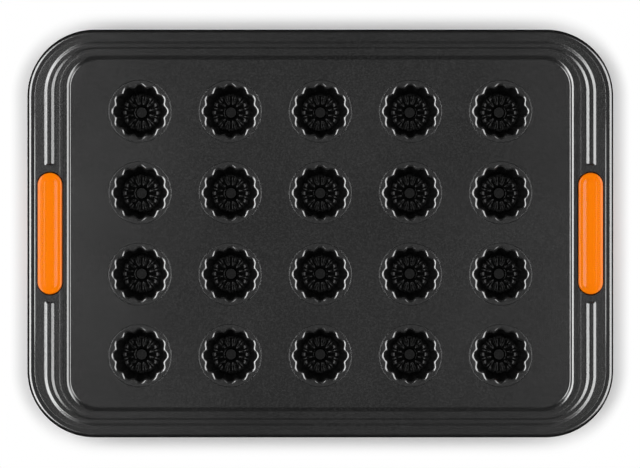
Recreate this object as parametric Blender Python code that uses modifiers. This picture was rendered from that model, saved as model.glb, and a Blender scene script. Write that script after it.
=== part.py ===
"""Mini canele pan: a pressed, coated steel tray that carries twenty separately drawn fluted cups and
two silicone grips. Metres, +Z up. The pan stands on the feet of its cups, at z = 0, and its long
sides run along X."""

from math import cos, pi, radians, sin, tau

import bmesh
import bpy

# How the cups are laid out
COLUMNS = 5
ROWS = 4
LAND_X = 0.0188  # deck left between neighbouring seats, along the pan
LAND_Y = 0.0128  # and across it
DECK_MARGIN_X = 0.0254  # deck between the last seat and the wall, along the pan
DECK_MARGIN_Y = 0.0131

# One cup, measured on its inner face
CUP_SHEET = 0.0006
CUP_DEPTH = 0.0280  # from the flange down to the floor of the foot
FLUTES = 12
MOUTH_RADIUS = 0.0180  # middle of the flutes where the wall meets the flange
MOUTH_FLUTE = 0.0009  # how far a flute swings out and in there
BASE_RADIUS = 0.0140  # middle of the flutes where the wall meets the heel
BASE_FLUTE = 0.0005
BASE_HEIGHT = 0.0044
HEEL_RADIUS = 0.0115  # middle of the flutes halfway round the heel
HEEL_FLUTE = 0.0009
HEEL_HEIGHT = 0.0014
FOOT_RADIUS = 0.0088  # outer edge of the flat foot
FOOT_FLUTE = 0.0002
FOOT_WIDTH = 0.0018
DISC_RADIUS = 0.0042  # raised disc in the middle of the floor
DISC_RISE = 0.0030
FLANGE_WIDTH = 0.0022  # from the tip of a flute to the flange's edge

# How a cup sits in the tray
SEAT_GAP = 0.0003  # under the flange
SEAT_CLEARANCE = 0.0003  # round the flange
HOLE_CLEARANCE = 0.0005  # round the flutes below the flange

# Tray. An end is one of the two short ends, which carry the grips, and a side is a long side.
TRAY_SHEET = 0.0008
WALL_HEIGHT = 0.0017  # from the deck up to the rim
WALL_RUN_END = 0.0037  # plan width of the wall
WALL_RUN_SIDE = 0.0033
RIB_HEIGHT = 0.0007
RIB_TOP = 0.0016  # width of the rib's flat top
RIB_WIDTH_END = 0.0073
RIB_WIDTH_SIDE = 0.0060
INNER_SHELF_SIDE = 0.0039  # flat rim between the wall and the rib
OUTER_SHELF_SIDE = 0.00285  # flat rim between the rib and the step
STEP_HEIGHT = 0.0003  # small step down from the rim to the outer band
STEP_RUN = 0.0005
BAND_WIDTH_END = 0.0021
BAND_WIDTH_SIDE = 0.00185
BAND_RISE = 0.0002  # the band climbs a little to the rolled edge
ROLL_RADIUS = 0.0029
ROLL_TURN = 225  # degrees from the top of the roll round to its hidden end
DECK_CORNER = 0.0184
OUTER_CORNER = 0.0458

# Grips
GRIP_LENGTH = 0.0830
GRIP_WIDTH = 0.0172
GRIP_LAND_INNER = 0.0025  # flat rim left beside the pad, towards the wall
GRIP_LAND_OUTER = 0.0011  # and towards the step
GRIP_OVERLAP = 0.0012  # how far the pads reach over the edge of the slot
GRIP_CROWN = 0.0036  # height of the upper pad over the rim
GRIP_EDGE = 0.0009  # height of the upper pad's upright edge
GRIP_FLAT = 0.0036  # width of the flat along the middle of the upper pad
GRIP_BELOW = 0.0026  # depth of the lower pad under the rim's sheet
GRIP_GAP = 0.0003  # between the silicone and the sheet, all round the slot
RIB_TO_GRIP = 0.0043  # plain rim between the end of the rib and the pad
RIB_RUNOUT = 0.0026  # length over which the rib rises from nothing

# Fineness of the facets
CORNER_STEPS = 6
WALL_STEPS = 3
ROLL_STEPS = 5
HOLE_STEPS = 16
GRIP_STEPS = 8
CROWN_STEPS = 3

# Sizes that follow from those above
FLANGE_RADIUS = MOUTH_RADIUS + MOUTH_FLUTE + FLANGE_WIDTH
SEAT_RADIUS = FLANGE_RADIUS + SEAT_CLEARANCE
SEAT_DEPTH = CUP_SHEET + SEAT_GAP
HOLE_RADIUS = MOUTH_RADIUS + MOUTH_FLUTE + CUP_SHEET + HOLE_CLEARANCE
PITCH_X = 2 * SEAT_RADIUS + LAND_X
PITCH_Y = 2 * SEAT_RADIUS + LAND_Y
DECK_HALF_X = (COLUMNS - 1) * PITCH_X / 2 + SEAT_RADIUS + DECK_MARGIN_X
DECK_HALF_Y = (ROWS - 1) * PITCH_Y / 2 + SEAT_RADIUS + DECK_MARGIN_Y
DECK_Z = CUP_SHEET + CUP_DEPTH
RIM_Z = DECK_Z + WALL_HEIGHT
INNER_SHELF_END = (GRIP_WIDTH - RIB_WIDTH_END) / 2 + GRIP_LAND_INNER
OUTER_SHELF_END = (GRIP_WIDTH - RIB_WIDTH_END) / 2 + GRIP_LAND_OUTER
RIB_START = GRIP_LENGTH / 2 + RIB_TO_GRIP
GRIP_X = DECK_HALF_X + WALL_RUN_END + INNER_SHELF_END + RIB_WIDTH_END / 2


def clear_scene():
    for obj in list(bpy.data.objects):
        bpy.data.objects.remove(obj)


def new_collection(name):
    collection = bpy.data.collections.new(name)
    bpy.context.scene.collection.children.link(collection)
    return collection


def principled(name, color, roughness, metallic):
    """A material with one Principled BSDF. The colour is linear."""
    material = bpy.data.materials.new(name)
    material.use_nodes = True
    shader = material.node_tree.nodes["Principled BSDF"]
    shader.inputs["Base Color"].default_value = (*color, 1)
    shader.inputs["Roughness"].default_value = roughness
    shader.inputs["Metallic"].default_value = metallic
    return material


def add_ring(bm, points):
    return [bm.verts.new(point) for point in points]


def loft(bm, rings):
    """Bands of faces from each ring of points to the next, wider one. They face up where the rings run
    outwards. A ring may have twice the points of the one before."""
    for near, far in zip(rings, rings[1:]):
        ratio = len(far) // len(near)
        for i, point in enumerate(near):
            after = near[(i + 1) % len(near)]
            reached = [far[(i * ratio + k) % len(far)] for k in range(ratio + 1)]
            if ratio == 1:
                bm.faces.new((point, *reached, after))
            else:
                first, middle, last = reached
                bm.faces.new((point, first, middle))
                bm.faces.new((point, middle, after))
                bm.faces.new((after, middle, last))


def mesh_from(bm, name, smooth_angle):
    mesh = bpy.data.meshes.new(name)
    bm.to_mesh(mesh)
    bm.free()
    mesh.shade_smooth()
    mesh.set_sharp_from_angle(angle=radians(smooth_angle))
    return mesh


def closed_mesh(rings_of_points, name, smooth_angle):
    """A solid lofted through rings from its bottom to its top, with both ends closed."""
    bm = bmesh.new()
    rings = [add_ring(bm, points) for points in rings_of_points]
    loft(bm, rings)
    bm.faces.new(rings[0])
    bm.faces.new(rings[-1])
    bmesh.ops.recalc_face_normals(bm, faces=bm.faces)
    return mesh_from(bm, name, smooth_angle)


def add_object(name, mesh, material, collection, parent, location=(0, 0, 0)):
    obj = bpy.data.objects.new(name, mesh)
    obj.location = location
    obj.parent = parent
    if material and not mesh.materials:
        mesh.materials.append(material)
    collection.objects.link(obj)
    return obj


def thicken(obj, thickness):
    """Gives the sheet its thickness below, as the faces look up."""
    solidify = obj.modifiers.new("sheet", "SOLIDIFY")
    solidify.thickness = thickness
    solidify.offset = -1
    solidify.use_even_offset = True
    return solidify


def circle(radius, z, steps, swing=0.0, centre=(0.0, 0.0)):
    """Points round a centre. With a swing they lie on the tips and the hollows of the flutes by turns."""
    points = []
    for step in range(steps):
        angle = tau * step / steps
        reach = radius + swing * (-1) ** step
        points.append((centre[0] + reach * cos(angle), centre[1] + reach * sin(angle), z))
    return points


def cup_mesh():
    """The inner face of a fluted cup, from the raised disc out to the flange's edge."""
    floor = CUP_SHEET
    fine = 2 * FLUTES
    bm = bmesh.new()
    rings = [
        add_ring(bm, circle(DISC_RADIUS, floor + DISC_RISE, FLUTES)),
        add_ring(bm, circle(FOOT_RADIUS - FOOT_WIDTH, floor, FLUTES)),
        add_ring(bm, circle(FOOT_RADIUS, floor, fine, FOOT_FLUTE)),
        add_ring(bm, circle(HEEL_RADIUS, floor + HEEL_HEIGHT, fine, HEEL_FLUTE)),
        add_ring(bm, circle(BASE_RADIUS, floor + BASE_HEIGHT, fine, BASE_FLUTE)),
        add_ring(bm, circle(MOUTH_RADIUS, floor + CUP_DEPTH, fine, MOUTH_FLUTE)),
        add_ring(bm, circle(FLANGE_RADIUS, floor + CUP_DEPTH, fine)),
    ]
    bm.faces.new(rings[0])
    loft(bm, rings)
    return mesh_from(bm, "fluted_cup", 50)


def cup_centres():
    """Row and column numbers with the place of each cup, from the back left corner."""
    for row in range(ROWS):
        for column in range(COLUMNS):
            x = (column - (COLUMNS - 1) / 2) * PITCH_X
            y = ((ROWS - 1) / 2 - row) * PITCH_Y
            yield row + 1, column + 1, x, y


def rim_ring(half_x, half_y, corner, z, rib_height=0.0):
    """Points round the pan. The straight ends hold the points where the rib fades out beside a grip."""
    fades = (RIB_START + RIB_RUNOUT, RIB_START, -RIB_START, -RIB_START - RIB_RUNOUT)
    points = []
    for quarter in range(4):
        sign_x = 1 if quarter in (0, 3) else -1
        sign_y = 1 if quarter < 2 else -1
        for step in range(CORNER_STEPS + 1):
            angle = (quarter + step / CORNER_STEPS) * pi / 2
            x = sign_x * (half_x - corner) + corner * cos(angle)
            y = sign_y * (half_y - corner) + corner * sin(angle)
            points.append((x, y, z + rib_height))
        if quarter in (1, 3):
            for fade in fades:
                height = rib_height if abs(fade) > RIB_START else 0.0
                points.append((sign_x * half_x, -sign_x * fade, z + height))
    return points


def rim_stations():
    """How far out each line of the rim lies from the deck on the ends and on the sides, with its height
    over the deck and the rib's height there."""
    for step in range(WALL_STEPS + 1):
        share = step / WALL_STEPS
        rise = WALL_HEIGHT * (1 - cos(pi * share)) / 2
        yield WALL_RUN_END * share, WALL_RUN_SIDE * share, rise, 0.0
    end = WALL_RUN_END + INNER_SHELF_END
    side = WALL_RUN_SIDE + INNER_SHELF_SIDE
    yield end, side, WALL_HEIGHT, 0.0
    flank_end = (RIB_WIDTH_END - RIB_TOP) / 2
    flank_side = (RIB_WIDTH_SIDE - RIB_TOP) / 2
    yield end + flank_end, side + flank_side, WALL_HEIGHT, RIB_HEIGHT
    yield end + flank_end + RIB_TOP, side + flank_side + RIB_TOP, WALL_HEIGHT, RIB_HEIGHT
    end += RIB_WIDTH_END
    side += RIB_WIDTH_SIDE
    yield end, side, WALL_HEIGHT, 0.0
    end += OUTER_SHELF_END
    side += OUTER_SHELF_SIDE
    yield end, side, WALL_HEIGHT, 0.0
    end += STEP_RUN
    side += STEP_RUN
    yield end, side, WALL_HEIGHT - STEP_HEIGHT, 0.0
    end += BAND_WIDTH_END
    side += BAND_WIDTH_SIDE
    centre = WALL_HEIGHT - STEP_HEIGHT + BAND_RISE - ROLL_RADIUS
    for step in range(ROLL_STEPS + 1):
        turn = radians(ROLL_TURN * step / ROLL_STEPS)
        out = ROLL_RADIUS * sin(turn)
        yield end + out, side + out, centre + ROLL_RADIUS * cos(turn), 0.0


def tray_surface(bm):
    """The upper face of the tray: deck, seats, wall, rim, rib, skirt and rolled edge."""
    stations = list(rim_stations())
    widest_end = max(station[0] for station in stations)
    widest_side = max(station[1] for station in stations)
    rings = []
    for end, side, height, rib in stations:
        share = (end + side) / (widest_end + widest_side)
        corner = DECK_CORNER + (OUTER_CORNER - DECK_CORNER) * share
        points = rim_ring(DECK_HALF_X + end, DECK_HALF_Y + side, corner, DECK_Z + height, rib)
        rings.append(add_ring(bm, points))
    loft(bm, rings)
    outlines = [rings[0]]
    # The circles are drawn round the true radius, so that a flat between two points keeps its clearance.
    widen = 1 / cos(pi / HOLE_STEPS)
    for _, _, x, y in cup_centres():
        shelf = add_ring(bm, circle(SEAT_RADIUS * widen, DECK_Z, HOLE_STEPS, centre=(x, y)))
        low = DECK_Z - SEAT_DEPTH
        step = add_ring(bm, circle(SEAT_RADIUS * widen, low, HOLE_STEPS, centre=(x, y)))
        hole = add_ring(bm, circle(HOLE_RADIUS * widen, low, HOLE_STEPS, centre=(x, y)))
        loft(bm, [hole, step, shelf])
        outlines.append(shelf)
    edges = [bm.edges.get((ring[i - 1], ring[i])) for ring in outlines for i in range(len(ring))]
    bmesh.ops.triangle_fill(bm, edges=edges, use_beauty=True, normal=(0, 0, 1))


def stadium(inset, z, width, length):
    """Points round a pad with full round ends, its long side along Y."""
    radius = width / 2 - inset
    straight = (length - width) / 2
    points = []
    for sign in (1, -1):
        for step in range(GRIP_STEPS + 1):
            angle = pi * step / GRIP_STEPS
            points.append((sign * radius * cos(angle), sign * (straight + radius * sin(angle)), z))
    return points


def slot_mesh():
    """The cutter of a grip's slot, longer than the sheet is thick."""
    inset = GRIP_OVERLAP - GRIP_GAP
    reach = 3 * TRAY_SHEET
    rings = [stadium(inset, z, GRIP_WIDTH, GRIP_LENGTH) for z in (-reach, reach)]
    return closed_mesh(rings, "slot", 30)


def grip_mesh():
    """One silicone grip: lower pad, waist through the slot and crowned upper pad. Its z = 0 is the rim."""
    under = -TRAY_SHEET - GRIP_GAP
    foot = -TRAY_SHEET - GRIP_BELOW
    levels = [
        (GRIP_OVERLAP, foot),
        (0.0, foot + GRIP_OVERLAP),
        (0.0, under),
        (GRIP_OVERLAP, under),
        (GRIP_OVERLAP, GRIP_GAP),
        (0.0, GRIP_GAP),
    ]
    shoulder = (GRIP_WIDTH - GRIP_FLAT) / 2
    for step in range(CROWN_STEPS + 1):
        turn = pi / 2 * step / CROWN_STEPS
        rise = (GRIP_CROWN - GRIP_EDGE) * sin(turn)
        levels.append((shoulder * (1 - cos(turn)), GRIP_EDGE + rise))
    rings = [stadium(inset, z, GRIP_WIDTH, GRIP_LENGTH) for inset, z in levels]
    return closed_mesh(rings, "grip", 50)


def build_tray(parts, cutters, parent, material):
    bm = bmesh.new()
    tray_surface(bm)
    tray = add_object("tray", mesh_from(bm, "tray", 35), material, parts, parent)
    thicken(tray, TRAY_SHEET)
    slot = slot_mesh()
    for side, sign in (("left", -1), ("right", 1)):
        cutter = add_object(f"slot_{side}", slot, None, cutters, parent, (sign * GRIP_X, 0, RIM_Z))
        cutter.hide_render = True
        cutter.display_type = "WIRE"
        cut = tray.modifiers.new(f"slot_{side}", "BOOLEAN")
        cut.operation = "DIFFERENCE"
        cut.solver = "EXACT"
        cut.object = cutter


def build_cups(parts, parent, material):
    mesh = cup_mesh()
    for row, column, x, y in cup_centres():
        cup = add_object(f"cup_row{row}_col{column}", mesh, material, parts, parent, (x, y, 0))
        solidify = thicken(cup, CUP_SHEET)
        # Keeps the underside of the foot flat, which the simple mode leaves a hundredth out.
        solidify.solidify_mode = "NON_MANIFOLD"
        solidify.nonmanifold_thickness_mode = "CONSTRAINTS"
        solidify.nonmanifold_merge_threshold = 0.00001


def build_grips(parts, parent, material):
    mesh = grip_mesh()
    for side, sign in (("left", -1), ("right", 1)):
        add_object(f"grip_{side}", mesh, material, parts, parent, (sign * GRIP_X, 0, RIM_Z))


def main():
    clear_scene()
    parts = new_collection("mini_canele_pan")
    cutters = new_collection("cutters")
    pan = bpy.data.objects.new("pan_origin", None)
    parts.objects.link(pan)
    build_tray(parts, cutters, pan, principled("tray_coating", (0.045, 0.045, 0.047), 0.38, 0.3))
    build_cups(parts, pan, principled("cup_coating", (0.030, 0.030, 0.032), 0.30, 0.3))
    build_grips(parts, pan, principled("grip_silicone", (1.0, 0.22, 0.01), 0.45, 0.0))


main()
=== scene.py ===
# %% [markdown]
# # A mini canele pan
# The object is a baking pan: a pressed steel tray with a dark non-stick coating, twenty small fluted
# cups set into it, and an orange silicone grip on each short end. The engineering model comes first
# and stays as it is. This lesson gives each of its pieces a finely modelled surface and a finish, and
# lights it as a product photographer would, from straight above.

# %% The engineering model
from math import atan, atan2, cos, pi, radians, sin, tan, tau

import bmesh
import bpy
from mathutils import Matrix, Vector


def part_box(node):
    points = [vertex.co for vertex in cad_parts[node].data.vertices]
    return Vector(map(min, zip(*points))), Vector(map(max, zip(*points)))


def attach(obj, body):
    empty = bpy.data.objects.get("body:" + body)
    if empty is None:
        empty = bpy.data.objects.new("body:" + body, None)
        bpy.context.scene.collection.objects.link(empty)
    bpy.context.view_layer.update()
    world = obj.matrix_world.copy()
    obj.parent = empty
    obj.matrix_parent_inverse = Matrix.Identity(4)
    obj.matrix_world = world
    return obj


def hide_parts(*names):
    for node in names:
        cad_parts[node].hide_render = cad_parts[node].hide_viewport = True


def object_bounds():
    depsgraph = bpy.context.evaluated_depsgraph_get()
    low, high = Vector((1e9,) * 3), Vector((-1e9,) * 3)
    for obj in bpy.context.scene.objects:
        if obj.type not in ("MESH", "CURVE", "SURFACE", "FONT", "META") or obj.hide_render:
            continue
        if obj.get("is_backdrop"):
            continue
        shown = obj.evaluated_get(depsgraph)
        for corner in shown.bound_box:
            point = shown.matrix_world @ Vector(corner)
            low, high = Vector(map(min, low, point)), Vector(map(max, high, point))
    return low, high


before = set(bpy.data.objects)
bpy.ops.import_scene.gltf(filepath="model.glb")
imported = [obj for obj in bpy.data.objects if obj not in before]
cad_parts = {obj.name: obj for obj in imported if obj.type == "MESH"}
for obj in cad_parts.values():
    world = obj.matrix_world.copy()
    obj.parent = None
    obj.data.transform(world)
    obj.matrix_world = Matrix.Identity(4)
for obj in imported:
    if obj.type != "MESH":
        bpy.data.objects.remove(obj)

MM = 0.001
cad_low, cad_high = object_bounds()
print("nodes:", len(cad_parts), "box:", tuple(cad_low), tuple(cad_high))

# %% [markdown]
# ## Camera
# The photograph looks straight down at the pan. A short lens would show the inner walls of the outer
# cups much more than those of the middle ones. Here they hardly differ, so the real camera stood far
# away with a long lens. The lens follows from the distance and from how many pixels the pan covers.

# %% Camera
PHOTO_WIDTH = 640
PHOTO_CENTRE = (320.0, 234.0)
PAN_PIXELS = 586  # length of the pan in the photograph
PAN_CENTRE = (320.3, 233.5)  # the pan's middle in the photograph
DECK_PLANE = 28.6 * MM  # height of the pan's broad face
CAMERA_DISTANCE = 2.4
SENSOR_WIDTH = 36  # in millimetres, as the lens is

pan_length = cad_high.x - cad_low.x
metres_per_pixel = pan_length / PAN_PIXELS
camera_data = bpy.data.cameras.new("camera")
camera_data.sensor_width = SENSOR_WIDTH
camera_data.lens = SENSOR_WIDTH * CAMERA_DISTANCE / (PHOTO_WIDTH * metres_per_pixel)
camera = bpy.data.objects.new("camera", camera_data)
camera.location = (
    (PHOTO_CENTRE[0] - PAN_CENTRE[0]) * metres_per_pixel,
    (PAN_CENTRE[1] - PHOTO_CENTRE[1]) * metres_per_pixel,
    DECK_PLANE + CAMERA_DISTANCE,
)
bpy.context.scene.collection.objects.link(camera)
bpy.context.scene.camera = camera
print("lens", round(camera_data.lens, 1), "mm")

# %% [markdown]
# ## Small helpers
# Colours are written as sRGB hex values, as a paint chart gives them, and one function turns them to
# the linear values that the renderer works with. One more adds a shader node with its settings and
# links. The pan's pieces are sheets drawn through closed rings of points, so the other helpers make
# rings, join them with bands of faces and turn the result into an object.

# %% Colours and shader nodes
def linear(hex_colour):
    """Linear RGBA of a colour written as #RRGGBB."""
    channels = [int(hex_colour[i : i + 2], 16) / 255 for i in (1, 3, 5)]
    return [c / 12.92 if c <= 0.04045 else ((c + 0.055) / 1.055) ** 2.4 for c in channels] + [1.0]


def add_node(tree, kind, settings=None, links=None):
    """Adds a node. Settings are values of its properties or inputs, links are outputs to join."""
    node = tree.nodes.new(kind)
    for name, value in (settings or {}).items():
        if isinstance(name, int) or name in node.inputs:
            node.inputs[name].default_value = value
        else:
            setattr(node, name, value)
    for name, output in (links or {}).items():
        tree.links.new(output, node.inputs[name])
    return node


print("white is", linear("#FFFFFF"))

# %% Rings and bands
def add_ring(bm, points):
    """Vertices at the points, in their order."""
    return [bm.verts.new(point) for point in points]


def loft(bm, rings):
    """Bands of faces between rings of equal count. They face up where the rings run outwards."""
    for near, far in zip(rings, rings[1:]):
        for i in range(len(near)):
            bm.faces.new((near[i - 1], far[i - 1], far[i], near[i]))


def ring_edges(bm, ring):
    """The edges round a ring that a band of faces has joined."""
    return [bm.edges.get((ring[i - 1], ring[i])) for i in range(len(ring))]


def arc(steps, first, last):
    """Angles from the first to the last, both included."""
    return [first + (last - first) * step / steps for step in range(steps + 1)]


def circle(radius, z, steps, centre=(0.0, 0.0)):
    """Points round a level circle."""
    angles = [tau * step / steps for step in range(steps)]
    return [(centre[0] + radius * cos(a), centre[1] + radius * sin(a), z) for a in angles]


print("four points of a circle:", [(round(x, 3), round(y, 3)) for x, y, _ in circle(1.0, 0.0, 4)])

# %% Pieces
def add_piece(name, bm, material):
    """An object from the bmesh, shaded smooth, with its material."""
    mesh = bpy.data.meshes.new(name)
    bm.to_mesh(mesh)
    bm.free()
    mesh.shade_smooth()
    mesh.materials.append(material)
    piece = bpy.data.objects.new(name, mesh)
    bpy.context.scene.collection.objects.link(piece)
    print(name, len(mesh.polygons), "faces")
    return piece


def thicken(piece, thickness):
    """Gives a sheet its thickness below."""
    solidify = piece.modifiers.new("sheet", "SOLIDIFY")
    solidify.thickness = thickness
    solidify.offset = -1
    solidify.use_even_offset = True


def apply_modifiers(piece):
    """Keeps the shape that the modifiers make as the piece's own mesh."""
    bpy.context.view_layer.update()
    graph = bpy.context.evaluated_depsgraph_get()
    piece.data = bpy.data.meshes.new_from_object(piece.evaluated_get(graph))
    piece.modifiers.clear()


print("pieces to model:", len(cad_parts))

# %% [markdown]
# ## Non-stick coating
# The steel is sprayed with a dark fluoropolymer coating and baked. The film has a faint metallic body
# and a fine orange-peel grain, so broad faces look almost black and softly speckled, while every
# rounded edge flashes where it mirrors a lamp. A diffuse black with a weak gloss would give far duller
# edges, so most of the look comes from a dark metal with a broad, slightly uneven reflection. On steep
# faces of the tray and low in the cups the film's colour is darkened as painted shade, and its roughness
# changes there too. The real grain is finer than a pixel, so it is drawn a millimetre wide, as coarse
# as it needs to be to show.

# %% Coating material
FILM_COLOUR = "#808080"
FILM_EDGE_TINT = "#383838"  # of light that grazes the film
TINT_SHARES = (0.7, 1.3)  # brightness of the darkest and of the lightest specks
SPECK_RANGE = (0.45, 0.7)  # noise between which a speck starts to scatter light and does so fully
SPECKS = 0.06  # how much more the light specks of the film scatter than the dark ones
CLOUD_MM = 70  # size of the soft patches that a spray gun leaves
PATCH_SWING = 0.03  # how far the roughness swings between those patches


def coating(name, roughness, grain, body, painted_shade):
    """Sprayed non-stick coating. Grain is the width and height of its specks in millimetres. Body is the
    share of light that all of it scatters. Painted shade says where the colour is darkened as painted
    shade: which Z it follows, the value at which it is darkest, the one from which it is not darkened,
    the share of colour left where it is darkest, and the roughness there."""
    material = bpy.data.materials.new(name)
    material.use_nodes = True
    tree = material.node_tree
    shader = tree.nodes["Principled BSDF"]
    shader.inputs["Specular Tint"].default_value = linear(FILM_EDGE_TINT)
    place = add_node(tree, "ShaderNodeTexCoord")
    # The scale of a noise says how many of its grains lie on one metre
    speckle = add_node(
        tree, "ShaderNodeTexNoise",
        {"Scale": 1000 / grain[0], "Detail": 2.0, "Roughness": 0.6}, {"Vector": place.outputs["Object"]},
    )
    metal = add_node(
        tree, "ShaderNodeMapRange",
        {
            "From Min": SPECK_RANGE[0],
            "From Max": SPECK_RANGE[1],
            "To Min": 1 - body,
            "To Max": 1 - body - SPECKS,
        },
        {"Value": speckle.outputs["Fac"]},
    )
    cloud = add_node(
        tree, "ShaderNodeTexNoise",
        {"Scale": 1000 / CLOUD_MM, "Detail": 3.0}, {"Vector": place.outputs["Object"]},
    )
    dark, light = [[c * share for c in linear(FILM_COLOUR)[:3]] + [1.0] for share in TINT_SHARES]
    tint = add_node(
        tree, "ShaderNodeMix", {"data_type": "RGBA", 6: dark, 7: light}, {0: speckle.outputs["Fac"]}
    )
    coordinate, darkest_at, whole, shaded_share, shaded_roughness = painted_shade
    # Mask of the painted shade: 0 where the colour is darkest, 1 from where it is not darkened
    height = add_node(tree, "ShaderNodeSeparateXYZ", links={"Vector": place.outputs[coordinate]})
    unshaded_share = add_node(
        tree, "ShaderNodeMapRange", {"From Min": darkest_at, "From Max": whole}, {"Value": height.outputs["Z"]}
    )
    shade_scale = add_node(
        tree, "ShaderNodeMapRange", {"To Min": shaded_share, "To Max": 1.0}, {"Value": unshaded_share.outputs["Result"]}
    )
    # The coating's colour is scaled down here by the painted shade
    colour = add_node(
        tree, "ShaderNodeVectorMath", {"operation": "SCALE"},
        {"Vector": tint.outputs[2], "Scale": shade_scale.outputs["Result"]},
    )
    satin = add_node(
        tree, "ShaderNodeMapRange",
        {"To Min": roughness - PATCH_SWING, "To Max": roughness + PATCH_SWING},
        {"Value": cloud.outputs["Fac"]},
    )
    rough = add_node(
        tree, "ShaderNodeMix", {2: shaded_roughness}, {0: unshaded_share.outputs["Result"], 3: satin.outputs["Result"]}
    )
    bump = add_node(
        tree, "ShaderNodeBump",
        {"Strength": 1.0, "Distance": grain[1] / 1000}, {"Height": speckle.outputs["Fac"]},
    )
    tree.links.new(colour.outputs["Vector"], shader.inputs["Base Color"])
    tree.links.new(metal.outputs["Result"], shader.inputs["Metallic"])
    tree.links.new(rough.outputs[0], shader.inputs["Roughness"])
    tree.links.new(bump.outputs["Normal"], shader.inputs["Normal"])
    return material


# The last group of each darkens the colour as painted shade: on the tray's steep faces, low in the cups
tray_finish = coating("baked_nonstick_tray", 0.21, (1.0, 0.03), 0.0, ("Normal", 0.75, 0.86, 0.04, 0.34))
cup_finish = coating(
    "baked_nonstick_cup", 0.2, (1.0, 0.02), 0.03, ("Object", 1.2 * MM, 5.2 * MM, 0.11, 0.15)
)
print("coatings:", tray_finish.name, cup_finish.name)

# %% [markdown]
# ## The rim
# From the deck outwards the tray has a low rounded wall, a flat shelf with a faint bead, a raised rib, a
# second shelf, a small step, an outer band and a rolled edge. Most of these are wider on the short ends,
# because the grips sit there, and the rib stops just short of each grip. The rim is one sheet lofted
# through rings: each ring takes one distance on the ends and another on the sides.

# %% Sizes of the tray
CUP_SHEET = 0.6 * MM
CUP_DEPTH = 28 * MM
DECK_Z = CUP_SHEET + CUP_DEPTH
TRAY_SHEET = 0.8 * MM
WALL_HEIGHT = 1.7 * MM
RIM_Z = DECK_Z + WALL_HEIGHT
RIB_HEIGHT = (0.74 * MM, 0.55 * MM)  # on the ends and on the sides
BEAD_HEIGHT = 0.05 * MM
STEP_HEIGHT = (0.09 * MM, 0.03 * MM)  # beside the grips and elsewhere
BAND_RISE = 0.2 * MM
ROLL_RADIUS = 2.9 * MM
ROLL_TURN = radians(225)
DECK_CORNER = 18.4 * MM
OUTER_CORNER = 45.8 * MM
GRIP_LENGTH = 83 * MM
RIB_FADE_START = GRIP_LENGTH / 2 + 4.7 * MM
RIB_FADE = 1.8 * MM
STEP_FADE_START = 52 * MM
STEP_FADE = 32 * MM
print("rim at", round(RIM_Z / MM, 1), "mm")

# %% Plan widths of the rim
WALL_FILLETS = (1.2 * MM, 3.5 * MM)  # radii at the wall's foot and at its top, on the ends
WALL_SLOPE = radians(42)
WALL_RISES = [radius * (1 - cos(WALL_SLOPE)) for radius in WALL_FILLETS]
WALL_STRAIGHT = (WALL_HEIGHT - sum(WALL_RISES)) / tan(WALL_SLOPE)
# From the deck outwards, on the ends and on the sides
WALL_RUN = (sum(WALL_FILLETS) * sin(WALL_SLOPE) + WALL_STRAIGHT, 4.3 * MM)
BEAD_START = (0.8 * MM, 0.1 * MM)
BEAD_FLANK = (1.2 * MM, 0.6 * MM)
BEAD_TOP = (1.4 * MM, 1.2 * MM)
INNER_SHELF = (2.75 * MM, 1.2 * MM)
RIB_INNER_FLANK = (2.8 * MM, 1.3 * MM)
RIB_TOP = (2.4 * MM, 1.8 * MM)
RIB_OUTER_FLANK = (1.8 * MM, 2.5 * MM)
OUTER_SHELF = (6.4 * MM, 1.7 * MM)
STEP_RUN = (0.5 * MM, 0.5 * MM)
BAND_WIDTH = (2.1 * MM, 2.6 * MM)
print("wall", [round(run / MM, 2) for run in WALL_RUN], "mm wide on the ends and on the sides")

# %% Slopes of the rim
SIDE_WALL_BEND = 0.25  # share of the side wall's width that bends at its foot and at its top
RIB_BENDS = (0.16, 0.18)  # the same for the rib's inner and outer flank
WALL_STEPS = 8


def ramp(share):
    """Smooth rise from 0 to 1 with level ends."""
    return (1 - cos(pi * share)) / 2


def flank(share, bend):
    """Straight rise from 0 to 1 between two short bends."""
    if share > 0.5:
        return 1 - flank(1 - share, bend)
    if share < bend:
        return share * share / (2 * bend * (1 - bend))
    return (share - bend / 2) / (1 - bend)


def flank_place(rise, bend):
    """Where a flank has risen that far. It undoes the function above."""
    if rise > 0.5:
        return 1 - flank_place(1 - rise, bend)
    if rise < bend / (2 * (1 - bend)):
        return (2 * bend * (1 - bend) * rise) ** 0.5
    return rise * (1 - bend) + bend / 2


def wall_points(steps):
    """Distances out from the deck on the ends and on the sides, and height, up the wall. On the ends it is
    a fillet, a straight slope and a larger fillet. On the sides it climbs more gently."""
    foot, top = WALL_FILLETS
    points = [(foot * sin(turn), foot * (1 - cos(turn))) for turn in arc(steps, 0, WALL_SLOPE)]
    for turn in arc(steps, WALL_SLOPE, 0):
        points.append((WALL_RUN[0] - top * sin(turn), WALL_HEIGHT - top * (1 - cos(turn))))
    for out, rise in points:
        share = min(max(rise / WALL_HEIGHT, 0.0), 1.0)
        yield out, WALL_RUN[1] * flank_place(share, SIDE_WALL_BEND), rise


foot_end = list(wall_points(WALL_STEPS))[WALL_STEPS]
print("the wall's foot ends at", [round(value / MM, 2) for value in foot_end], "mm")

# %% Lines of the rim
ROLL_STEPS = 22


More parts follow.
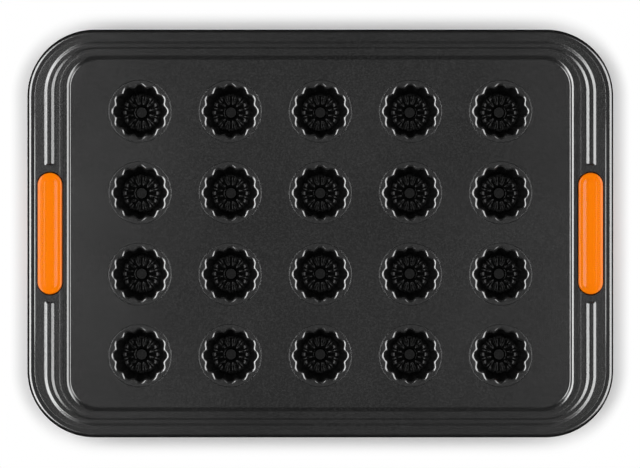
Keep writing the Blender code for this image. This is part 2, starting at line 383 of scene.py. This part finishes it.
def rim_lines():
    """Distance out from the deck on the ends and on the sides, height over the deck, and what share of
    the rib and of the step stands there."""
    for out_end, out_side, rise in wall_points(WALL_STEPS):
        yield out_end, out_side, rise, 0.0, 0.0
    place = list(WALL_RUN)
    # Widths of a part, its number of lines, and along it the extra height and the shares of rib and step
    spans = (
        (BEAD_START, 2, lambda t: (0.0, 0.0, 0.0)),
        (BEAD_FLANK, 6, lambda t: (BEAD_HEIGHT * ramp(t), 0.0, 0.0)),
        (BEAD_TOP, 3, lambda t: (BEAD_HEIGHT, 0.0, 0.0)),
        (BEAD_FLANK, 6, lambda t: (BEAD_HEIGHT * ramp(1 - t), 0.0, 0.0)),
        (INNER_SHELF, 3, lambda t: (0.0, 0.0, 0.0)),
        (RIB_INNER_FLANK, 12, lambda t: (0.0, flank(t, RIB_BENDS[0]), 0.0)),
        (RIB_TOP, 3, lambda t: (0.0, 1.0, 0.0)),
        (RIB_OUTER_FLANK, 12, lambda t: (0.0, flank(1 - t, RIB_BENDS[1]), 0.0)),
        (OUTER_SHELF, 6, lambda t: (0.0, 0.0, 0.0)),
        (STEP_RUN, 8, lambda t: (0.0, 0.0, ramp(t))),
        (BAND_WIDTH, 5, lambda t: (BAND_RISE * t, 0.0, 1.0)),
    )
    for widths, steps, shape in spans:
        for step in range(1, steps + 1):
            share = step / steps
            out_end, out_side = [start + width * share for start, width in zip(place, widths)]
            lift, rib, down = shape(share)
            yield out_end, out_side, WALL_HEIGHT + lift, rib, down
        place = [start + width for start, width in zip(place, widths)]
    centre = WALL_HEIGHT + BAND_RISE - ROLL_RADIUS
    for step in range(1, ROLL_STEPS + 1):
        turn = ROLL_TURN * step / ROLL_STEPS
        out = ROLL_RADIUS * sin(turn)
        yield place[0] + out, place[1] + out, centre + ROLL_RADIUS * cos(turn), 0.0, 1.0


lines = list(rim_lines())
WIDEST = max(line[0] for line in lines), max(line[1] for line in lines)
DECK_HALF = cad_high.x - WIDEST[0], cad_high.y - WIDEST[1]
print(len(lines), "lines, rim", round(WIDEST[0] / MM, 1), "by", round(WIDEST[1] / MM, 1), "mm wide")

# %% Heights along the short ends
STEP_PARTS = 8  # spans between points where the step fades
RIB_PARTS = 12  # where the rib fades
GRIP_PARTS = 8  # and from there to the middle of the grip


def end_places():
    """Where points lie along a short end: close together where rib and step fade, sparse elsewhere."""
    step = [STEP_FADE_START + STEP_FADE * part / STEP_PARTS for part in range(STEP_PARTS, -1, -1)]
    rib = [RIB_FADE_START + RIB_FADE * part / RIB_PARTS for part in range(RIB_PARTS, -1, -1)]
    grip = [RIB_FADE_START * part / GRIP_PARTS for part in range(GRIP_PARTS - 1, -GRIP_PARTS, -1)]
    return step + rib + grip + [-y for y in reversed(step + rib)]


def fade_in(y, start, length):
    """Rises from 0 to 1 with the distance from the pan's middle line."""
    return ramp(min(max((abs(y) - start) / length, 0.0), 1.0))


def rim_height(height, rib, down, end_share, y):
    """Height over the deck. End share is 1 on the ends, 0 on the sides and between them in the corners."""
    rib_height = RIB_HEIGHT[1] + (RIB_HEIGHT[0] - RIB_HEIGHT[1]) * end_share
    step_height = STEP_HEIGHT[1]
    if end_share == 1:
        rib_height *= fade_in(y, RIB_FADE_START, RIB_FADE)
        beside_grip = 1 - fade_in(y, STEP_FADE_START, STEP_FADE)
        step_height += (STEP_HEIGHT[0] - STEP_HEIGHT[1]) * beside_grip
    return height + rib * rib_height - down * step_height


print("points along an end:", len(end_places()))

# %% Rings of the rim
CORNER_STEPS = 28
CORNER_BLEND = 4  # power of the cosine that passes from the ends' rib height to the sides'


def rim_ring(out_end, out_side, *shape):
    """Points round the pan at one line of the rim. Shape is its height and its shares of rib and step."""
    half_x, half_y = DECK_HALF[0] + out_end, DECK_HALF[1] + out_side
    share = (out_end + out_side) / sum(WIDEST)
    corner = DECK_CORNER + (OUTER_CORNER - DECK_CORNER) * share
    points = []
    for quarter in range(4):
        side_x = 1 if quarter in (0, 3) else -1
        side_y = 1 if quarter < 2 else -1
        for step in range(CORNER_STEPS + 1):
            angle = (quarter + step / CORNER_STEPS) * pi / 2
            x = side_x * (half_x - corner) + corner * cos(angle)
            y = side_y * (half_y - corner) + corner * sin(angle)
            points.append((x, y, DECK_Z + rim_height(*shape, cos(angle) ** CORNER_BLEND, y)))
        if quarter in (1, 3):
            for place in end_places():
                y = -side_x * place
                points.append((side_x * half_x, y, DECK_Z + rim_height(*shape, 1, y)))
    return points


print(len(rim_ring(*lines[0])), "points round the pan")

# %% [markdown]
# ## The deck and its seats
# Each cup hangs by a narrow flange in a shallow seat round its hole. The seat's edge is rounded, and
# that soft edge is the fine circle that shows round every cup. The deck itself is flat, so it is
# filled in one go between the rim and the seats. A narrow collar of flat faces round each opening
# keeps the smooth shading of the rounded edges from creeping over the large flat faces.

# %% Sizes of the seats
ROWS = 4
COLUMNS = 5
FLANGE_RADIUS = 21.1 * MM
SEAT_GAP = 0.3 * MM
SEAT_RADIUS = FLANGE_RADIUS + SEAT_GAP
SEAT_DEPTH = CUP_SHEET + SEAT_GAP
SEAT_EDGE = 0.08 * MM  # radius of the seat's rounded edge
SEAT_FOOT = 0.02 * MM  # how far its floor ends before the wall
HOLE_RADIUS = 20.0 * MM
COLLAR = 0.5 * MM
SEAT_STEPS = 96


def cup_places():
    """Node name and middle of each cup, read from the engineering model."""
    for row in range(1, ROWS + 1):
        for column in range(1, COLUMNS + 1):
            node = f"cup_row{row}_col{column}"
            low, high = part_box(node)
            yield node, (low.x + high.x) / 2, (low.y + high.y) / 2


def seat_rings(bm, centre):
    """The seat from the hole's edge out to a collar in the plane of the deck."""
    rings = [
        (HOLE_RADIUS, -SEAT_DEPTH),
        (HOLE_RADIUS + COLLAR / 2, -SEAT_DEPTH),
        (SEAT_RADIUS - SEAT_FOOT, -SEAT_DEPTH),
    ]
    for turn in arc(4, 0, pi / 2):
        rings.append((SEAT_RADIUS + SEAT_EDGE * (1 - cos(turn)), SEAT_EDGE * (sin(turn) - 1)))
    rings.append((SEAT_RADIUS + SEAT_EDGE + COLLAR, 0.0))
    return [add_ring(bm, circle(r, DECK_Z + z, SEAT_STEPS, centre)) for r, z in rings]


print("cups at", [(round(x / MM, 1), round(y / MM, 1)) for _, x, y in list(cup_places())[:2]], "...")

# %% The tray's sheet
def tray_sheet():
    """The upper face of the whole tray: rim, seats and the flat deck between them."""
    bm = bmesh.new()
    rings = [add_ring(bm, rim_ring(-COLLAR, -COLLAR, 0.0, 0.0, 0.0))]
    rings += [add_ring(bm, rim_ring(*line)) for line in lines]
    loft(bm, rings)
    edges = ring_edges(bm, rings[0])
    for _, x, y in cup_places():
        seat = seat_rings(bm, (x, y))
        loft(bm, seat)
        edges += ring_edges(bm, seat[-1])
    bmesh.ops.triangle_fill(bm, edges=edges, use_beauty=True, normal=(0, 0, 1))
    return bm


tray = add_piece("tray_pressed_sheet", tray_sheet(), tray_finish)
thicken(tray, TRAY_SHEET)

# %% [markdown]
# ## Slots for the grips
# Each silicone grip is pushed through a slot in the rim. Round the slot the sheet is pressed down a
# little, so the pad's edge sinks into a narrow groove, which shows as a dark line round the pad. A
# Boolean cuts the place of each pressed seat out of the sheet, and a band of faces makes the seat with
# its slot. Slot, seat and pad are stadiums, long shapes with full round ends, so one function draws
# them all. Its inset counts from the pad's outline inwards.

# %% Stadiums
GRIP_WIDTH = 16.6 * MM
GRIP_SHIFT = 0.45 * MM  # how much further in than in the engineering model the grips lie
GRIP_OVERLAP = 1.2 * MM  # the waist is this much narrower than the pad on each side
GRIP_GAP = 0.3 * MM
GRIP_STEPS = 28
GROOVE_WIDTH = 0.7 * MM
GROOVE_DEPTH = 1.3 * MM
grip_boxes = {side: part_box(f"grip_{side}") for side in ("left", "right")}
grip_middles = {}
for side, (low, high) in grip_boxes.items():
    middle = (low.x + high.x) / 2
    grip_middles[side] = middle - GRIP_SHIFT if middle > 0 else middle + GRIP_SHIFT


def stadium(inset, z, middle):
    """Points round a pad with full round ends, its long side along Y."""
    radius = GRIP_WIDTH / 2 - inset
    straight = (GRIP_LENGTH - GRIP_WIDTH) / 2
    points = []
    for sign in (1, -1):
        for step in range(GRIP_STEPS + 1):
            angle = pi * step / GRIP_STEPS
            points.append((middle + sign * radius * cos(angle), sign * (straight + radius * sin(angle)), z))
    return points


def closed_loft(bm, levels):
    """A solid through stadiums of the given insets, heights and middles, closed at both ends."""
    rings = [add_ring(bm, stadium(*level)) for level in levels]
    loft(bm, rings)
    bm.faces.new(rings[0])
    bm.faces.new(rings[-1])


print("grips at x", {side: round(x / MM, 1) for side, x in grip_middles.items()})

# %% Seats and slots
CUT_HALF_HEIGHT = 2 * MM
CUT_MARGIN = 0.1 * MM  # how much wider than the groove the sheet is cut away
BAND_START = (0.3 * MM, 0.05 * MM)  # how far outside the groove the band starts and where it bends
TUCK = 0.02 * MM  # how deep it starts, hidden inside the sheet
GROOVE_LIP = (0.07 * MM, 0.2 * MM)  # depths of the groove's upper edge
GROOVE_FOOT = -0.05 * MM  # inset at which its slope reaches the groove's floor
SHARP_ANGLE = radians(50)


def cut_stadiums(piece, inset):
    """Cuts both grips' places out of the rim and keeps the result as the piece's own mesh."""
    bm = bmesh.new()
    for middle in grip_middles.values():
        closed_loft(bm, [(inset, RIM_Z + z, middle) for z in (-CUT_HALF_HEIGHT, CUT_HALF_HEIGHT)])
    bmesh.ops.recalc_face_normals(bm, faces=bm.faces)
    tool = add_piece("tool", bm, tray_finish)
    cut = piece.modifiers.new("cut", "BOOLEAN")
    cut.object = tool
    apply_modifiers(piece)
    bpy.data.objects.remove(tool)


def add_pressed_seats(piece):
    """The band starts hidden inside the sheet, goes down the groove's slope, in to the slot and back."""
    outer = -GROOVE_WIDTH
    slot = GRIP_OVERLAP - GRIP_GAP
    levels = (
        (outer - BAND_START[0], -TUCK),
        (outer - BAND_START[1], -TUCK),
        (outer, -GROOVE_LIP[0]),
        (outer, -GROOVE_LIP[1]),
        (GROOVE_FOOT, -GROOVE_DEPTH),
        (slot, -GROOVE_DEPTH),
        (slot, -GROOVE_DEPTH - TRAY_SHEET),
        (outer - TRAY_SHEET, -GROOVE_DEPTH - TRAY_SHEET),
        (outer - TRAY_SHEET, -TRAY_SHEET / 2),
    )
    bm = bmesh.new()
    bm.from_mesh(piece.data)
    sheet_faces = set(bm.faces)
    for middle in grip_middles.values():
        rings = [add_ring(bm, stadium(inset, RIM_Z + z, middle)) for inset, z in levels]
        loft(bm, rings + rings[:1])
    bmesh.ops.recalc_face_normals(bm, faces=[face for face in bm.faces if face not in sheet_faces])
    bm.to_mesh(piece.data)
    bm.free()


cut_stadiums(tray, -GROOVE_WIDTH - CUT_MARGIN)
add_pressed_seats(tray)
tray.data.shade_smooth()
tray.data.set_sharp_from_angle(angle=SHARP_ANGLE)
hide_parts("tray")
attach(tray, "root")
print("tray", len(tray.data.polygons), "faces after the cuts")

# %% [markdown]
# ## The fluted cups
# A canele cup is drawn from one round of sheet: a flat raised disc in the middle of the floor, a channel
# round it on which the cup stands, a steep wall pressed into twelve flutes and a rounded lip that turns
# out to the flange. The flutes run on over the foot and fade out towards the disc, so seen from above
# they leave a ring of fine radial streaks. Two outlines describe the form, one along the deepest line
# of a flute and one along the ridge between two flutes, and a wave swings between them. A power of the
# wave makes the ridges narrow, most of all on the floor.

# %% Outline of a cup
FLUTES = 12
FLUTE_SWING = 0.9 * MM  # half the depth of a flute at the lip
LIP_RADIUS = 2.2 * MM
LIP_LINE = 18.95 * MM  # where the lip leaves the flange, halfway between flutes and ridges
HEEL = (5.1 * MM, 4.6 * MM)  # width and height of the quarter ellipse between floor and wall
FLUTE_FOOT = (9.3 * MM, 0.0)  # radius and height over the floor where the heel starts in a flute
RIDGE_FOOT = (8.7 * MM, 0.7 * MM)  # and on a ridge
DISC_CENTRE = 0.25 * MM  # radius of the innermost ring
DISC_RADIUS = 3.5 * MM
DISC_RIM = 0.3 * MM  # width of the ring that keeps the disc's top flat up to its edge
DISC_RISE = 3.0 * MM
DISC_SIDE = 0.9 * MM  # plan width of the steep side round the disc
CHANNEL_RISE = 0.15 * MM  # height at the foot of that side
CHANNEL = 4.9 * MM  # radius where the level floor starts
FLANGE_EDGE = 0.1 * MM
SIDE_STEPS, FLOOR_STEPS, HEEL_STEPS, UPRIGHT_STEPS, LIP_STEPS = 4, 10, 16, 8, 10


def heel_turn(tilt):
    """The angle along the heel's quarter ellipse at which it has that slope."""
    return atan(tan(tilt) * HEEL[0] / HEEL[1])


def touching_line(tilt, near, far):
    """Ends and slope of the straight line that touches two roundings. Each gives its point for a slope.
    The first guess of the slope gets better with each round."""
    for _ in range(12):
        start, end = near(tilt), far(tilt)
        tilt = atan2(abs(end[1] - start[1]), end[0] - start[0])
    return start, end, tilt


def cup_outline(foot, lip_line):
    """Radius and height over the floor from the disc's middle out to the end of the lip."""
    line, height = foot

    def heel(turn):
        return line + HEEL[0] * sin(turn), height + HEEL[1] * (1 - cos(turn))

    def lip(tilt):
        return lip_line - LIP_RADIUS * sin(tilt), CUP_DEPTH - LIP_RADIUS * (1 - cos(tilt))

    yield DISC_CENTRE, DISC_RISE
    yield DISC_RADIUS - DISC_RIM, DISC_RISE
    for step in range(SIDE_STEPS + 1):
        share = step / SIDE_STEPS
        yield DISC_RADIUS + DISC_SIDE * share, DISC_RISE + (CHANNEL_RISE - DISC_RISE) * share
    yield CHANNEL, 0.0
    for step in range(1, FLOOR_STEPS + 1):
        share = step / FLOOR_STEPS
        yield CHANNEL + (line - CHANNEL) * share, height * ramp(share)
    start, end, tilt = touching_line(radians(80), lambda slope: heel(heel_turn(slope)), lip)
    yield from (heel(turn) for turn in arc(HEEL_STEPS, 0, heel_turn(tilt))[1:])
    for step in range(1, UPRIGHT_STEPS):
        yield tuple(a + (b - a) * step / UPRIGHT_STEPS for a, b in zip(start, end))
    yield from (lip(slope) for slope in arc(LIP_STEPS, tilt, 0))


flute_line = list(cup_outline(FLUTE_FOOT, LIP_LINE + FLUTE_SWING))
ridge_line = list(cup_outline(RIDGE_FOOT, LIP_LINE - FLUTE_SWING))
print(len(flute_line), "rings in a cup")

# %% Cup meshes
CUP_POINTS = 192
SHARPNESS = (2.6, 1.2)  # on the floor and at the lip: 1 is a plain wave, above it the ridges get narrow
FLANGE_COLLAR = 0.2 * MM
CUP_SLACK = 0.01 * MM  # taken off the sheet, so that no foot dips under the table
CUP_SHARP_ANGLE = radians(32)


def fluted_ring(flute, ridge):
    """Points round the axis that swing between a place in a flute and one on a ridge."""
    sharpness = SHARPNESS[0] + (SHARPNESS[1] - SHARPNESS[0]) * max(flute[1], 0.0) / CUP_DEPTH
    points = []
    for step in range(CUP_POINTS):
        angle = tau * step / CUP_POINTS
        share = 1 - ((1 - cos(FLUTES * angle)) / 2) ** sharpness
        radius, height = [b + (a - b) * share for a, b in zip(flute, ridge)]
        points.append((radius * cos(angle), radius * sin(angle), CUP_SHEET + height))
    return points


def cup_sheet():
    """The upper face of a cup from the disc's middle out to the flange's edge."""
    bm = bmesh.new()
    rings = [add_ring(bm, fluted_ring(*places)) for places in zip(flute_line, ridge_line)]
    rings.append(add_ring(bm, circle(FLANGE_RADIUS - FLANGE_EDGE - FLANGE_COLLAR, DECK_Z, CUP_POINTS)))
    for turn in arc(4, 0, pi / 2):
        radius = FLANGE_RADIUS - FLANGE_EDGE * (1 - sin(turn))
        rings.append(add_ring(bm, circle(radius, DECK_Z - FLANGE_EDGE * (1 - cos(turn)), CUP_POINTS)))
    bm.faces.new(rings[0])
    loft(bm, rings)
    return bm


first_cup = add_piece("drawn_cup", cup_sheet(), cup_finish)
thicken(first_cup, CUP_SHEET - CUP_SLACK)
apply_modifiers(first_cup)
first_cup.data.shade_smooth()
first_cup.data.set_sharp_from_angle(angle=CUP_SHARP_ANGLE)
for node, x, y in cup_places():
    cup = bpy.data.objects.new(f"{node}_drawn", first_cup.data)
    bpy.context.scene.collection.objects.link(cup)
    cup.location = (x, y, 0)
    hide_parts(node)
    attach(cup, "root")
bpy.data.objects.remove(first_cup)

# %% [markdown]
# ## Silicone
# The grips are compression-moulded silicone rubber, which is smooth, slightly translucent and very even
# in colour. Light enters it a little and comes out again, which softens its shading, so the shader
# gets a small amount of subsurface light besides its gloss. A very low bump stands for the satin
# texture of the mould. The real one is finer, and this one is as coarse as it needs to be to show.

# %% Silicone material
MOULD_GRAIN_MM = (0.9, 0.004)  # width and height of the mould's texture
silicone = bpy.data.materials.new("moulded_silicone_rubber")
silicone.use_nodes = True
silicone_tree = silicone.node_tree
silicone_shader = silicone_tree.nodes["Principled BSDF"]
silicone_shader.inputs["Roughness"].default_value = 0.17
silicone_shader.inputs["IOR"].default_value = 1.41
silicone_shader.inputs["Subsurface Weight"].default_value = 0.08
silicone_shader.inputs["Subsurface Scale"].default_value = 0.002
silicone_place = add_node(silicone_tree, "ShaderNodeTexCoord").outputs["Object"]
mould_grain = add_node(
    silicone_tree, "ShaderNodeTexNoise",
    {"Scale": 1000 / MOULD_GRAIN_MM[0], "Detail": 2.0}, {"Vector": silicone_place},
)
silicone_tint = add_node(
    silicone_tree, "ShaderNodeMix",
    {"data_type": "RGBA", 6: linear("#F07600"), 7: linear("#F47C00")}, {0: mould_grain.outputs["Fac"]},
)
mould_bump = add_node(
    silicone_tree, "ShaderNodeBump",
    {"Strength": 1.0, "Distance": MOULD_GRAIN_MM[1] * MM}, {"Height": mould_grain.outputs["Fac"]},
)
silicone_tree.links.new(silicone_tint.outputs[2], silicone_shader.inputs["Base Color"])
silicone_tree.links.new(mould_bump.outputs["Normal"], silicone_shader.inputs["Normal"])
print("silicone ready")

# %% [markdown]
# ## The grips
# Seen from above a grip is a long pad with full round ends. From its outline a narrow border runs in
# almost flat, and a small step leads up to a crowned top, whose flat lies a little towards the pan's
# outer edge. The height is found by adding up slopes from the outline inwards. One table of slopes
# holds on the side of the pan's edge, another on the side of the cups, and round the ends the pad goes
# over from one to the other. Below the rim it has a flatter pad, and between them a waist that goes
# through the slot, so the sheet is gripped all round.

# %% Sections of the pad
GRIP_CROWN = 3.6 * MM
GRIP_BELOW = 2.6 * MM
GRIP_SOFT = 0.3 * MM  # radius of the small edges
PAD_RINGS = 72
PAD_FLAT = 7.2  # inset where the flat top starts, in millimetres like those in the tables
# Inset and slope in degrees
OUTER_SLOPES = (
    (0.0, 80), (0.3, 60), (0.6, 32), (0.9, 13), (1.3, 7), (2.5, 3.8), (4.0, 2.8),
    (4.4, 5.8), (4.9, 4.8), (5.6, 1.5), (6.1, 0), (PAD_FLAT, 0),
)
INNER_SLOPES = (
    (0.0, 80), (0.3, 55), (0.6, 36), (1.0, 19), (1.5, 11), (2.1, 8.5), (2.7, 9),
    (3.1, 18), (3.7, 24), (4.5, 20), (5.4, 14), (6.4, 7), (PAD_FLAT, 0),
)


def slope_at(table, inset):
    """Slope of the pad at an inset in millimetres, between the table's rows."""
    for (start, low), (end, high) in zip(table, table[1:]):
        if inset <= end:
            return radians(low + (high - low) * (inset - start) / (end - start))
    return 0.0


def drops(table):
    """How far the pad lies below its crown, in metres, at each ring from the outline inwards."""
    width = PAD_FLAT / PAD_RINGS
    rises = [tan(slope_at(table, (ring + 0.5) * width)) * width for ring in range(PAD_RINGS)]
    return [sum(rises[ring:]) * MM for ring in range(PAD_RINGS + 1)]


outer_drops, inner_drops = drops(OUTER_SLOPES), drops(INNER_SLOPES)
print("pad rises", [round(table[0] / MM, 2) for table in (outer_drops, inner_drops)], "mm")

# %% Grip meshes
FOOT_FLAT = 1.5 * MM  # from the lower pad's rounding in to the ring that closes it
EDGE_MIDDLE = 0.3  # share of its radius at which the middle point of a small edge lies


def lower_levels():
    """Inset and height over the rim from the bottom up to the upper pad's outline."""
    under = -TRAY_SHEET - GROOVE_DEPTH - GRIP_GAP
    foot = -TRAY_SHEET - GRIP_BELOW
    over = GRIP_GAP - GROOVE_DEPTH
    yield GRIP_OVERLAP + FOOT_FLAT, foot
    for turn in arc(8, 0, pi / 2):
        yield GRIP_OVERLAP * (1 - sin(turn)), foot + GRIP_OVERLAP * (1 - cos(turn))
    yield 0.0, under - GRIP_SOFT
    yield GRIP_SOFT * EDGE_MIDDLE, under - GRIP_SOFT * EDGE_MIDDLE
    yield GRIP_SOFT, under
    yield GRIP_OVERLAP, under
    yield GRIP_OVERLAP, over
    yield GRIP_SOFT, over
    yield GRIP_SOFT * EDGE_MIDDLE, over + GRIP_SOFT * EDGE_MIDDLE
    yield 0.0, over + GRIP_SOFT


def pad_ring(ring, middle):
    """One ring of the upper pad. Its height swings between the outer and the inner section."""
    inset = PAD_FLAT * ring / PAD_RINGS * MM
    outline = stadium(0.0, 0.0, middle)
    points = []
    for (x, y, _), (edge_x, _, _) in zip(stadium(inset, 0.0, middle), outline):
        across = (edge_x - middle) / (GRIP_WIDTH / 2) * (1 if middle > 0 else -1)
        outer_share = ramp((1 + across) / 2)
        drop = outer_drops[ring] * outer_share + inner_drops[ring] * (1 - outer_share)
        points.append((x, y, RIM_Z + GRIP_CROWN - drop))
    return points


for side, middle in grip_middles.items():
    grip_mesh = bmesh.new()
    outlines = [stadium(inset, RIM_Z + z, middle) for inset, z in lower_levels()]
    outlines += [pad_ring(ring, middle) for ring in range(PAD_RINGS + 1)]
    grip_rings = [add_ring(grip_mesh, outline) for outline in outlines]
    loft(grip_mesh, grip_rings)
    grip_mesh.faces.new(grip_rings[0])
    grip_mesh.faces.new(grip_rings[-1])
    bmesh.ops.recalc_face_normals(grip_mesh, faces=grip_mesh.faces)
    grip = add_piece(f"grip_{side}_moulded", grip_mesh, silicone)
    grip.data.set_sharp_from_angle(angle=SHARP_ANGLE)
    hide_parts(f"grip_{side}")
    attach(grip, "root")

# %% [markdown]
# ## Floor, lamps and world
# The pan stands on a plain white table. Two long soft boxes hang to its left and right and leave the
# space straight above it dark, which is how dark glossy bakeware is photographed: the broad faces
# mirror the dark and stay deep grey, and each rounded edge picks up one box as a clean line. Close to
# the pan the table keeps its soft shadow, and further out it turns into plain white.

# %% Floor material
FLOOR_SIZE = 12
SHADOW_START = 2.8 * MM  # where the floor's shade starts to fade out, from the pan's outline
SHADOW_END = 15 * MM
floor_finish = bpy.data.materials.new("matt_white_table")
floor_finish.use_nodes = True
floor_tree = floor_finish.node_tree
floor_shader = floor_tree.nodes["Principled BSDF"]
floor_shader.inputs["Roughness"].default_value = 0.9
floor_shader.inputs["Specular IOR Level"].default_value = 0.1
floor_place = add_node(floor_tree, "ShaderNodeTexCoord").outputs["Object"]
floor_cloud = add_node(floor_tree, "ShaderNodeTexNoise", {"Scale": 3.0}, {"Vector": floor_place})
floor_tint = add_node(
    floor_tree, "ShaderNodeMix",
    {"data_type": "RGBA", 6: linear("#F6F6F6"), 7: linear("#FAFAFA")}, {0: floor_cloud.outputs["Fac"]},
)
floor_tree.links.new(floor_tint.outputs[2], floor_shader.inputs["Base Color"])
print("floor", FLOOR_SIZE, "m across")

# %% Plain white further out
# How far a point sticks out of the rectangle through the corners' middles gives its distance
corner_middle = (cad_high.x - OUTER_CORNER, cad_high.y - OUTER_CORNER, 0.0)
folded = add_node(floor_tree, "ShaderNodeVectorMath", {"operation": "ABSOLUTE"}, {0: floor_place})
beyond = add_node(
    floor_tree, "ShaderNodeVectorMath", {"operation": "SUBTRACT", 1: corner_middle}, {0: folded.outputs[0]}
)
outside = add_node(floor_tree, "ShaderNodeVectorMath", {"operation": "MAXIMUM"}, {0: beyond.outputs[0]})
reach = add_node(floor_tree, "ShaderNodeVectorMath", {"operation": "LENGTH"}, {0: outside.outputs[0]})
clear = add_node(
    floor_tree, "ShaderNodeMapRange",
    {
        "interpolation_type": "SMOOTHSTEP",
        "From Min": OUTER_CORNER + SHADOW_START,
        "From Max": OUTER_CORNER + SHADOW_END,
    },
    {"Value": reach.outputs["Value"]},
)
seen = add_node(floor_tree, "ShaderNodeLightPath")
seen_share = seen.outputs["Is Camera Ray"]
for ray in ("Is Glossy Ray", "Is Transmission Ray"):
    seen_sum = add_node(floor_tree, "ShaderNodeMath", links={0: seen_share, 1: seen.outputs[ray]})
    seen_share = seen_sum.outputs[0]
white_share = add_node(
    floor_tree, "ShaderNodeMath", {"operation": "MULTIPLY"}, {0: clear.outputs["Result"], 1: seen_share}
)
white = add_node(floor_tree, "ShaderNodeEmission", {"Color": linear("#FFFFFF"), "Strength": 1.0})
floor_mix = add_node(
    floor_tree, "ShaderNodeMixShader",
    links={0: white_share.outputs[0], 1: floor_shader.outputs[0], 2: white.outputs[0]},
)
floor_tree.links.new(floor_mix.outputs[0], floor_tree.nodes["Material Output"].inputs["Surface"])
print("plain white from", round(SHADOW_END / MM), "mm outside the pan's outline")

# %% The table's face
floor_mesh = bmesh.new()
bmesh.ops.create_grid(floor_mesh, x_segments=1, y_segments=1, size=FLOOR_SIZE / 2)
floor = add_piece("floor", floor_mesh, floor_finish)
floor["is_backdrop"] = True

# %% Soft boxes
BOX_DISTANCE = 1.5
BOX_LENGTH = 1.7
BOX_WATTS_PER_M2 = 11


def soft_box(name, angle, width, strength):
    """A lamp that faces the pan. The angle counts from straight up towards the right. Strength is a
    share of the brightness that both boxes have in common."""
    data = bpy.data.lights.new(name, "AREA")
    data.shape = "RECTANGLE"
    data.size = width
    data.size_y = BOX_LENGTH
    data.energy = strength * BOX_WATTS_PER_M2 * width * BOX_LENGTH
    lamp = bpy.data.objects.new(name, data)
    lamp.location = (BOX_DISTANCE * sin(angle), 0, BOX_DISTANCE * cos(angle))
    lamp.rotation_euler = (0, angle, 0)
    lamp.visible_camera = False
    bpy.context.scene.collection.objects.link(lamp)
    return lamp


lamps = [
    soft_box("soft_box_left", radians(-42), 1.1, 1.06),
    soft_box("soft_box_right", radians(51), 1.65, 0.77),
]
print("soft boxes at", [tuple(round(c, 2) for c in lamp.location) for lamp in lamps])

# %% World and colour
SKY_RANGE = (0.3, 0.95)  # Z of the directions where the sky starts to get lighter and is lightest
world = bpy.data.worlds.new("dim_studio")
world.use_nodes = True
sky = world.node_tree
sky_direction = add_node(sky, "ShaderNodeTexCoord").outputs["Generated"]
sky_height = add_node(sky, "ShaderNodeSeparateXYZ", links={"Vector": sky_direction}).outputs["Z"]
sky_share = add_node(
    sky, "ShaderNodeMapRange",
    {"From Min": SKY_RANGE[0], "From Max": SKY_RANGE[1]}, {"Value": sky_height},
)
sky_colour = add_node(
    sky, "ShaderNodeMix",
    {"data_type": "RGBA", 6: linear("#282828"), 7: linear("#454545")}, {0: sky_share.outputs["Result"]},
)
sky.links.new(sky_colour.outputs[2], sky.nodes["Background"].inputs["Color"])
bpy.context.scene.world = world
bpy.context.scene.view_settings.view_transform = "Standard"
print("world", world.name)

# %% [markdown]
# The finely modelled pieces have to fill the same space as the engineering model. Both boxes are
# written down, so that they can be compared after each render.

# %% Sizes
low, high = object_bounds()
print("visual box", [round(v / MM, 1) for v in low], [round(v / MM, 1) for v in high])
